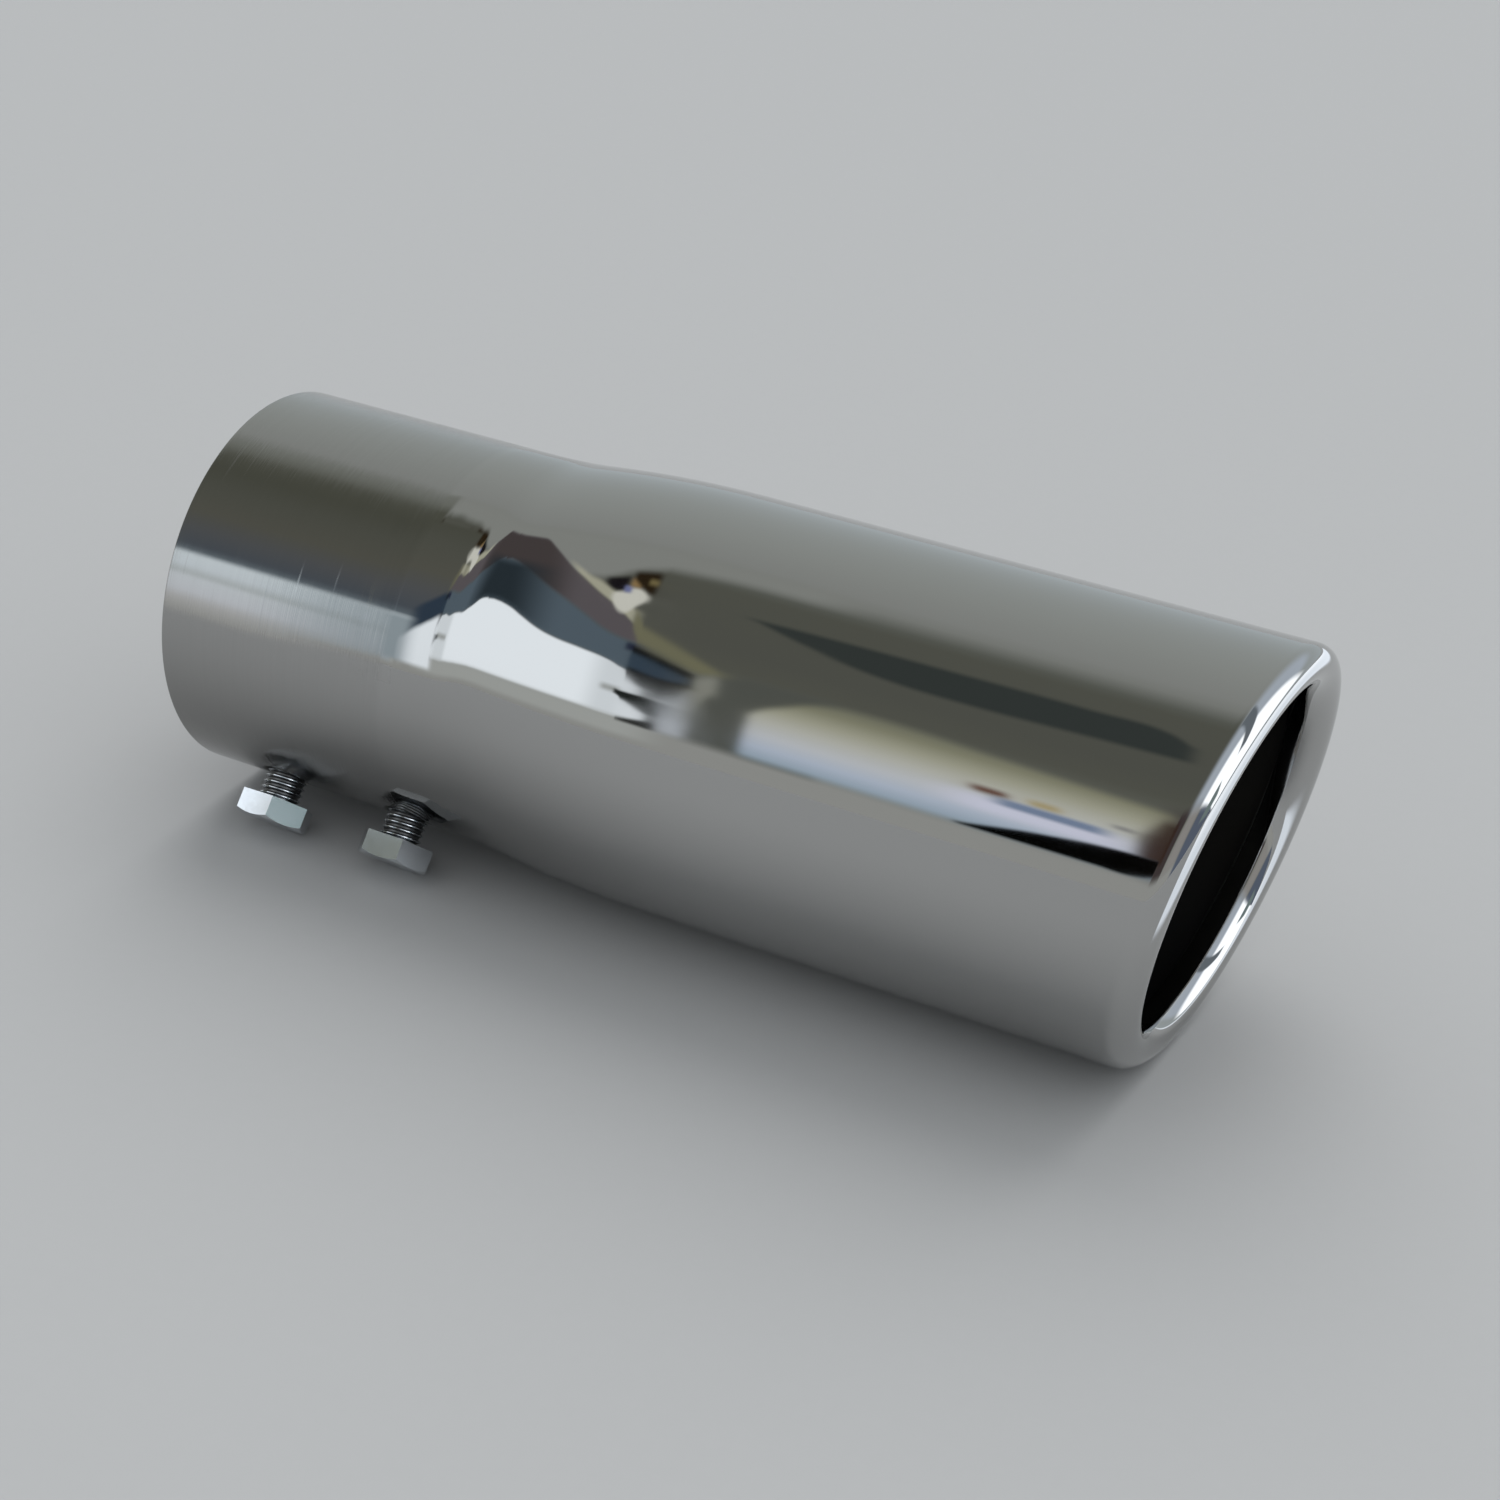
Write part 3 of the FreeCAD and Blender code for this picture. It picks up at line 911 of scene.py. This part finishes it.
# level, left, right, start, end, soft, soft_end
STUDIO_PANELS = {
    "light wall": Panel((119, 121, 118), -18, WALL_BORDER, -0.75, -0.345, 8, 0.03),
    "wall's bright edge": Panel((158, 157, 140), ((-0.55, 2), (-0.52, 9), (-0.50, 11), (-0.48, 14),
        (-0.46, 17.5), (-0.43, 23)), BROWN_BORDER, -0.545, -0.425, 4, 0.03, strength=0.85),
    "brown curtain": Panel((82, 78, 81), BROWN_BORDER, BLUE_BORDER, -0.80, -0.412, 2.5),
    "curtain's brown top": Panel((64, 59, 59), BROWN_BORDER, BLUE_BORDER, -0.80, -0.555, 4, 0.07),
    "blue curtain": Panel((76, 87, 96), BLUE_BORDER, WHITE_BORDER, -0.80, -0.412),
    "curtain's dark top": Panel((40, 47, 52), 9, WHITE_BORDER, -0.80, -0.590, 9, 0.10),
    "white card": Panel((216, 222, 228), WHITE_BORDER, 79.5, -0.80, -0.4015, 2, 0.003),
    "card's shade": Panel((194, 200, 205), WHITE_BORDER, 79.5, -0.465, -0.4015, 2, 0.05),
    "card's foot": Panel((150, 153, 151), 79, 88, -0.80, -0.40, 4, 0.02, strength=0.8),
    "white lamp": Panel((182, 182, 174), ((-0.475, 16), (-0.45, 11), (-0.43, 11), (-0.42, 13)),
        ((-0.475, 20), (-0.45, 26), (-0.43, 20), (-0.42, 17)), -0.476, -0.419, 4, 0.012),
    "lamp's black edge": Panel((28, 26, 28), ((-0.49, 8), (-0.46, 5)), ((-0.49, 12), (-0.475, 14.5),
        (-0.46, 14)), -0.492, -0.457, 4, 0.012),
    "lamp's blue glow": Panel((98, 104, 140), 10.5, 14.5, -0.461, -0.449, 3),
    "lamp's amber glow": Panel((128, 106, 74), 5, 10.5, -0.453, -0.436, 4, 0.010),
    "lamp's foot": Panel((40, 33, 24), ((-0.45, 1), (-0.42, -1)), ((-0.45, 6), (-0.43, 11), (-0.42, 13)),
        -0.452, -0.413, 5, 0.012),
    "foot's straw glow": Panel((112, 102, 72), 3.5, 7, -0.427, -0.414, strength=0.8),
    "olive strip": Panel((102, 101, 82), ((-0.43, 21), (-0.41, 31), (-0.40, 35), (-0.39, 39), (-0.38, 43)),
        ((-0.43, 29), (-0.41, 40), (-0.40, 43), (-0.39, 46), (-0.38, 50)), -0.428, -0.378, 5, 0.012),
    "dark strip": Panel((75, 77, 73), ((-0.387, 47), (-0.37, 41)), 80.5, -0.388, -0.338, 6, 0.006),
    "light strip": Panel((158, 163, 170), ((-0.399, 64), (-0.394, 60), (-0.388, 53), (-0.384, 50)), 80.5,
        -0.3985, -0.3875, 5, 0.004),
    "strip's lower edge": Panel((122, 123, 116), ((-0.392, 50), (-0.382, 45)), ((-0.390, 74), (-0.386, 64),
        (-0.382, 54)), -0.390, -0.3805, 6, 0.005),
    "frame's head": Panel((38, 42, 58), 40.5, 44.5, -0.426, -0.410, 3, 0.006),
    "dark frame": Panel((16, 18, 19), FRAME_LEFT, ((-0.414, 56), (-0.410, 59.5), (-0.405, 62.5),
        (-0.400, 65), (-0.395, 61.5), (-0.390, 54)), -0.4150, -0.3890, 2, 0.002),
    "frame's pane": Panel((48, 60, 72), ((-0.43, 43.5), (-0.41, 45.5), (-0.40, 48), (-0.393, 50)),
        ((-0.418, 52.5), (-0.41, 53), (-0.402, 54.5), (-0.391, 53)), -0.416, -0.3910, 2.5, 0.003),
    "frame's rail": Panel((16, 18, 15), 58, 69, -0.4055, -0.4005, 3, 0.002),
    "sill's line": Panel((18, 20, 18), 66, 80.5, -0.4022, -0.3980, 3, 0.0015),
    "post's blur": Panel((132, 135, 132), 64.5, 67.5, -0.448, -0.415, 3, 0.015, strength=0.8),
    "frame's post": Panel((24, 28, 26), ((-0.43, 65), (-0.41, 65.8), (-0.405, 65.5), (-0.399, 66.5)),
        ((-0.43, 67.5), (-0.415, 69), (-0.410, 70.5), (-0.405, 73), (-0.399, 76)), -0.424, -0.399, 1.5,
        0.003),
    "frame's corner": Panel((44, 45, 44), ((-0.415, 79.5), (-0.405, 78), (-0.40, 76)), 81, -0.412, -0.3985,
        2, 0.004),
    "window": Panel(WINDOW_LEVELS, WINDOW_LEFT, 80, -0.367, -0.2085, 5, 0.005),
    "window's cool side": Panel((186, 188, 207), 64, 71, -0.290, -0.224, 5, 0.03, strength=0.8),
    "window's brown handle": Panel((92, 68, 60), 59.5, 62.5, -0.284, -0.270, 3, 0.006),
    "window's amber handle": Panel((150, 139, 108), 59, 62, -0.262, -0.250, 3, 0.006),
    "window's blue bar": Panel((106, 119, 142), 62.5, 66, -0.274, -0.232, 2.5, 0.012),
    "window's sill mark": Panel((122, 122, 122), 59, 61, -0.230, -0.222, 2, 0.005),
    "outlet's dark corner": Panel((60, 54, 54), 44, 81, -0.209, 0.12, 8, 0.02),
    "corner's glow": Panel((126, 124, 122), 44, 81, 0.20, 0.66, 8, 0.20),
    "blue wall": Panel((80, 87, 100), 46, 100, 0.68, 1.10, 6, 0.10),
    "table's brown edge": Panel((54, 43, 38), ((-0.219, 60), (-0.212, 50)), 72, -0.2195, -0.12, 6),
    "black table": Panel((10, 10, 9), ((-0.284, 79.5), (-0.27, 76.5), (-0.26, 74.5), (-0.25, 73),
        (-0.24, 71.5), (-0.222, 70)), ((-0.23, 80.5), (-0.215, 80), (-0.207, 76)), -0.286, -0.2065, 2,
        0.003),
    "daylight's glow": Panel((150, 158, 168), -74, 45, 0.12, 1.10, 14, 0.40),
    "daylight": Panel((258, 262, 268), -84, 45, 0.60, 1.10, 6, 0.14),
    "daylight's post": Panel((92, 98, 104), -17, -3, 0.12, 0.88, 4, 0.05),
    "grey wall": Panel((100, 112, 112), 22, 62, 0.895, 0.985, 6, 0.02),
    "dark door": Panel((50, 54, 53), ((-0.374, 10), (-0.35, 9), (-0.30, 8), (-0.25, 7.5), (-0.22, 8),
        (-0.211, 12)), ((-0.374, 10.5), (-0.36, 15), (-0.35, 17.5), (-0.34, 20), (-0.32, 22.5), (-0.30, 23),
        (-0.24, 21), (-0.21, 20)), -0.376, -0.2095, 3.5),
}

# The flags over the sleeve and the neck: start, end and radius in millimetres, the light all round as
# (turn, level) stops, the turns of the light band in it, and the levels of what lies over it
SLEEVE_FLAG = (-40, 30, 60)
NECK_FLAG = (32.5, 44.1, 45)
LIGHT_BAND = (60.5, 84)
DIM_BAND, NAVY_STRIP, WHITE_WEDGE = (128, 138, 144), (46, 56, 68), (210, 216, 222)
FLAG_RING = (
    (-20, (112, 115, 112)), (0, (106, 108, 104)), (7, (98, 100, 95)), (12, (72, 73, 66)),
    (20, (68, 69, 62)), (30, (73, 74, 68)), (42, (77, 77, 71)), (50, (74, 76, 78)), (57, (68, 73, 79)),
    (59.5, (84, 92, 98)), (61.5, (184, 193, 198)), (66, (180, 188, 194)), (69.3, (158, 164, 166)),
    (71, (178, 184, 189)), (77, (176, 180, 186)), (80.5, (160, 161, 162)), (84, (148, 149, 148)),
    (88, (139, 140, 138)))

# The stretch of directions along the tube that the borders' points cover
BORDER_START, BORDER_SPAN = -0.70, 0.52


def surroundings(stage):
    """What the steel mirrors: a studio of soft panels, placed by their turn about the tube.

    Along is -1 to the inlet's side and 1 to the outlet's. The camera sees the plain backdrop instead, and
    what isn't polished is lit by plain light from all round."""
    world = bpy.data.worlds.new("studio")
    bpy.context.scene.world = world
    world.use_nodes = True
    graph = Graph(world.node_tree)
    along, y, z = graph.coordinates("Generated")
    around = graph.turn_about_tube(y, z)
    stretch = (along - BORDER_START) / BORDER_SPAN

    def border(places):
        if isinstance(places, (int, float)):
            return places
        points = [((a - BORDER_START) / BORDER_SPAN, (turned + 180) / 360) for a, turned in places]
        return graph.curve(stretch, points) * 360 - 180

    light = graph.ramp(around, -180, 180, STUDIO_RING)
    for level, left, right, start, end, soft, soft_end, strength in STUDIO_PANELS.values():
        mask = graph.step(around - border(left), -soft / 2, soft / 2)
        mask = mask * graph.step(around - border(right), soft / 2, -soft / 2)
        mask = mask * graph.band(along, start, end, soft_end) * strength
        many = isinstance(level[0], tuple)
        light = graph.mix(mask, light, graph.ramp(around, -180, 180, level) if many else lit(level))

    def background(colour):
        inputs = {"Color": graph.opaque(colour), "Strength": 1.0}
        return graph.add("ShaderNodeBackground", {}, inputs).outputs[0]

    seen = graph.add("ShaderNodeLightPath", {}, {}).outputs
    room = graph.either(seen["Is Glossy Ray"], background(stage.room_light), background(light))
    sky = graph.either(seen["Is Camera Ray"], room, background(stage.backdrop_colour))
    graph.add("ShaderNodeOutputWorld", {}, {"Surface": sky})


def mirror_card(mesh, name, light):
    """A card that only the steel sees. light gives its light and where it shows, from the card's graph."""
    card = as_object(mesh, name)
    material, graph = new_material(name + "_light")
    level, shown = light(graph)
    glow = graph.add("ShaderNodeEmission", {}, {"Color": level, "Strength": 1.0})
    clear = graph.add("ShaderNodeBsdfTransparent", {}, {})
    shader = graph.either(shown, clear.outputs[0], glow.outputs[0])
    graph.add("ShaderNodeOutputMaterial", {}, {"Surface": shader})
    card.data.materials.append(material)
    card.visible_camera = card.visible_diffuse = card.visible_shadow = False
    card.visible_transmission = card.visible_volume_scatter = False


def curved_card(name, start, end, reach, light):
    """A card bent about the tube's axis, over the upper front of the tube, in millimetres."""
    mesh = bmesh.new()
    verts = [mesh.verts.new((x * MM, 0, reach * MM)) for x in (start, end)]
    edge = mesh.edges.new(verts)
    bmesh.ops.spin(mesh, geom=verts + [edge], cent=(0, 0, 0), axis=(1, 0, 0), dvec=(0, 0, 0),
                   angle=math.radians(90), steps=CARD_STEPS)
    mirror_card(mesh, name, light)


def flag_ring(graph):
    """A flag's place along the tube, its turn about it, and its light and its light band by that turn."""
    x, y, z = graph.coordinates("Object")
    around = graph.turn_about_tube(y, z)
    return x / MM, around, graph.ramp(around, -20, 90, FLAG_RING), graph.band(around, *LIGHT_BAND, 3)


def sleeve_light(graph):
    x, around, light, light_band = flag_ring(graph)
    low_end = 80.5 + graph.step(x, 14, 4) * 6.5
    shown = graph.step(around, -0.5, 2.5) * graph.step(around - low_end, 1.5, -1.5)
    shown = shown * graph.band(x, SLEEVE_FLAG[0] + 2, SLEEVE_FLAG[1] - 1.5, 2.5)
    return graph.mix(light_band * graph.step(x, -2, 18) * 0.75, light, lit(DIM_BAND)), shown


def neck_light(graph):
    """Besides the ring, a slanted navy strip and all that lies below it white."""
    x, around, light, light_band = flag_ring(graph)
    below = around - 68 + (x - 37.5) * 2
    navy = graph.band(below, -9, 0, 3) * graph.step(x, 37.5, 40.5)
    white = graph.step(below, -1.5, 1.5) * graph.step(x, 36.5, 41)
    for mask, level in ((light_band, DIM_BAND), (navy, NAVY_STRIP), (white, WHITE_WEDGE)):
        light = graph.mix(mask, light, lit(level))
    return light, graph.band(around, 22, 76.5, 2.5) * graph.band(x, NECK_FLAG[0] + 1, NECK_FLAG[1] - 1, 0.6)


def build_flags():
    """A flag close over the sleeve, dark with a light band low down, and a smaller one over the neck."""
    curved_card("sleeve_flag", *SLEEVE_FLAG, sleeve_light)
    curved_card("neck_flag", *NECK_FLAG, neck_light)


def build_board():
    """A white board on the floor past the outlet, which the lip mirrors as a light streak."""
    def light(graph):
        x = graph.coordinates("Object")[0]
        level = graph.mix(graph.step(x, 0.23, 0.5), lit((200, 207, 216)), lit((228, 234, 242)))
        return level, graph.step(x, 0.215, 0.235)

    mirror_card(flat_square(0.715, 0.46, floor_level + 0.3 * MM, 0.5), "outlet_board", light)


def soft_lamp(name, place, width, strength):
    """Even light from far away, as wide as the given angle. Steel doesn't mirror it."""
    data = bpy.data.lights.new(name, "SUN")
    data.angle = width
    data.energy = strength
    lamp = bpy.data.objects.new(name, data)
    lamp.location = place
    lamp.rotation_mode = "QUATERNION"
    lamp.rotation_quaternion = Vector(place).to_track_quat("Z", "Y")
    lamp.visible_glossy = False
    bpy.context.scene.collection.objects.link(lamp)


def floor_finish(stage):
    material, graph = new_material("pale_floor")
    x, y, _ = graph.coordinates("Object")
    grain = graph.noise((x, y, 0), 400, 400, 2.0)
    base = graph.mix(grain * 0.08, stage.floor_colour, shaded(stage.floor_colour, 0.8))
    graph.surface({"Base Color": base, "Roughness": 0.9, "Specular IOR Level": 0.1})
    return material


def build_floor(stage):
    floor = as_object(flat_square(tip_middle.x, 0, floor_level, 3.0), "floor")
    floor.data.materials.append(floor_finish(stage))


def place_camera(stage):
    """Sets the camera so that the target falls at its place in the picture."""
    azimuth, elevation, roll = stage.camera_azimuth, stage.camera_elevation, stage.camera_roll
    back = Vector((math.sin(azimuth) * math.cos(elevation), -math.cos(azimuth) * math.cos(elevation),
                   math.sin(elevation)))
    level = Vector((math.cos(azimuth), math.sin(azimuth), 0))
    upright = back.cross(level)
    right = level * math.cos(roll) + upright * math.sin(roll)
    up = upright * math.cos(roll) - level * math.sin(roll)
    data = bpy.data.cameras.new("camera")
    data.lens = stage.camera_lens
    data.sensor_width = 36.0
    data.clip_start = 0.01
    data.clip_end = 20.0
    width = stage.camera_distance * data.sensor_width / data.lens
    place = lengthwise * stage.camera_target + back * stage.camera_distance
    place += (0.5 - stage.target_across) * width * right + (stage.target_down - 0.5) * width * up
    camera = bpy.data.objects.new("camera", data)
    camera.matrix_world = Matrix.Translation(place) @ Matrix((right, up, back)).transposed().to_4x4()
    bpy.context.scene.collection.objects.link(camera)
    bpy.context.scene.camera = camera


class EXHAUST_OT_stage(bpy.types.Operator):
    """Set up the floor, the soft light, the surroundings and the camera"""
    bl_idname = "exhaust.stage"
    bl_label = "Stage"

    def execute(self, context):
        stage = context.scene.exhaust_stage
        build_floor(stage)
        build_flags()
        build_board()
        surroundings(stage)
        soft_lamp("key lamp", (-0.1, 0.9, 1.3), math.radians(60), 1.16)
        soft_lamp("fill lamp", (0.4, -0.3, 1.4), math.radians(80), 0.475)
        place_camera(stage)
        context.scene.view_settings.view_transform = "Standard"
        return {"FINISHED"}


class EXHAUST_PT_panel(bpy.types.Panel):
    bl_label = "Exhaust tip"
    bl_idname = "EXHAUST_PT_panel"
    bl_space_type = "VIEW_3D"
    bl_region_type = "UI"
    bl_category = "Exhaust tip"

    def draw(self, context):
        for group_name in GROUPS:
            box = self.layout.box()
            group = getattr(context.scene, group_name)
            for name in group.__annotations__:
                box.prop(group, name)
        for operator in OPERATORS:
            self.layout.operator(operator.bl_idname)


GROUPS = {"exhaust_shell": ShellSizes, "exhaust_bolts": BoltSizes, "exhaust_finishes": Finishes,
          "exhaust_stage": StageSettings}
OPERATORS = (EXHAUST_OT_shell, EXHAUST_OT_bolts, EXHAUST_OT_nuts, EXHAUST_OT_stage)
CLASSES = (*GROUPS.values(), *OPERATORS, EXHAUST_PT_panel)


def register():
    for each in CLASSES:
        bpy.utils.register_class(each)
    for name, group in GROUPS.items():
        setattr(bpy.types.Scene, name, bpy.props.PointerProperty(type=group))


def unregister():
    for name in GROUPS:
        delattr(bpy.types.Scene, name)
    for each in reversed(CLASSES):
        bpy.utils.unregister_class(each)


def main():
    register()
    bpy.ops.exhaust.shell()
    bpy.ops.exhaust.bolts()
    bpy.ops.exhaust.nuts()
    bpy.ops.exhaust.stage()


if __name__ == "__main__":
    main()
